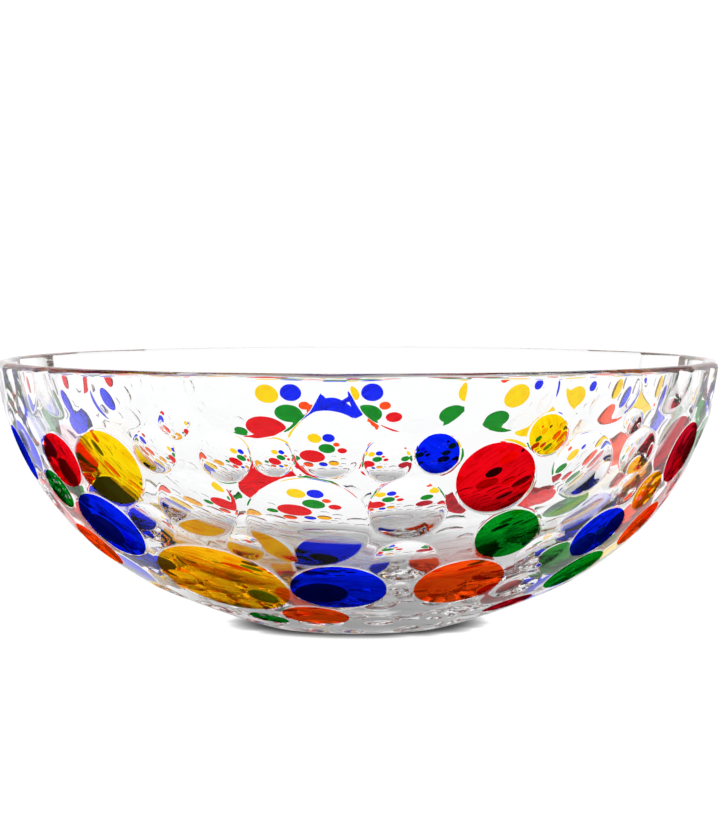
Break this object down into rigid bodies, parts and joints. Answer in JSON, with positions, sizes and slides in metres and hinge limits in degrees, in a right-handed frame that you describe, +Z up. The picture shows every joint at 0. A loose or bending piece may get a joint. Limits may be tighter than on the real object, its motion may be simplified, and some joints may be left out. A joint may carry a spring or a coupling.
{
  "type": "art glass bowl",
  "caption": "Wide heavy clear glass bowl with round concave dimples all over the outside, many of them coated in transparent coloured enamel.",
  "frame": {"origin": "centre of the resting ring, on the plane the bowl stands on", "axes": "+Z up along the bowl's axis out of its mouth, -Y towards the front of the enamel pattern"},
  "size_m": [0.2991, 0.2985, 0.11],
  "materials": {
    "clear_glass": "fire-polished clear crystal glass",
    "red_enamel": "transparent red enamel, fired glossy, slightly streaky",
    "yellow_enamel": "transparent yellow enamel, fired glossy, slightly streaky",
    "blue_enamel": "transparent cobalt blue enamel, fired glossy, slightly streaky",
    "ruby_enamel": "transparent dark red enamel, fired glossy, slightly streaky",
    "green_enamel": "transparent green enamel, fired glossy, slightly streaky",
    "amber_enamel": "transparent amber yellow enamel, fired glossy, slightly streaky",
    "orange_enamel": "transparent orange enamel, fired glossy, slightly streaky"
  },
  "bodies": {
    "root": {"bowl_body": "clear_glass", "red_front_upper_left_enamel": "red_enamel", "yellow_front_upper_left_enamel": "yellow_enamel", "blue_front_upper_middle_enamel": "blue_enamel", "red_front_upper_right_enamel": "red_enamel", "yellow_front_upper_right_enamel": "yellow_enamel", "ruby_right_upper_enamel": "ruby_enamel", "green_front_left_enamel": "green_enamel", "blue_front_left_enamel": "blue_enamel", "green_front_right_enamel": "green_enamel", "amber_front_right_enamel": "amber_enamel", "blue_front_right_enamel": "blue_enamel", "orange_left_low_enamel": "orange_enamel", "orange_right_middle_enamel": "orange_enamel", "amber_front_low_left_enamel": "amber_enamel", "blue_front_low_middle_enamel": "blue_enamel", "orange_front_low_right_enamel": "orange_enamel", "green_right_low_enamel": "green_enamel", "ruby_right_foot_enamel": "ruby_enamel", "green_left_foot_enamel": "green_enamel", "orange_front_foot_enamel": "orange_enamel", "green_right_upper_enamel": "green_enamel", "blue_right_upper_enamel": "blue_enamel", "yellow_right_upper_enamel": "yellow_enamel", "red_right_middle_enamel": "red_enamel", "orange_right_back_enamel": "orange_enamel", "yellow_right_low_enamel": "yellow_enamel", "green_right_back_low_enamel": "green_enamel", "blue_right_foot_enamel": "blue_enamel", "blue_back_small_left_enamel": "blue_enamel", "orange_back_small_enamel": "orange_enamel", "yellow_back_left_enamel": "yellow_enamel", "green_back_left_enamel": "green_enamel", "ruby_back_low_left_enamel": "ruby_enamel", "red_right_back_low_enamel": "red_enamel", "red_back_middle_enamel": "red_enamel", "orange_back_middle_enamel": "orange_enamel", "blue_back_upper_enamel": "blue_enamel", "green_back_middle_enamel": "green_enamel", "yellow_back_upper_enamel": "yellow_enamel", "red_back_low_enamel": "red_enamel", "amber_back_low_enamel": "amber_enamel", "blue_back_low_enamel": "blue_enamel", "orange_back_low_enamel": "orange_enamel", "green_back_low_enamel": "green_enamel", "red_left_back_upper_enamel": "red_enamel", "blue_left_back_enamel": "blue_enamel", "amber_left_back_low_enamel": "amber_enamel", "orange_left_back_enamel": "orange_enamel", "green_left_upper_enamel": "green_enamel", "blue_left_upper_enamel": "blue_enamel", "red_left_middle_enamel": "red_enamel", "yellow_left_low_enamel": "yellow_enamel", "blue_left_low_enamel": "blue_enamel"}
  },
  "joints": []
}
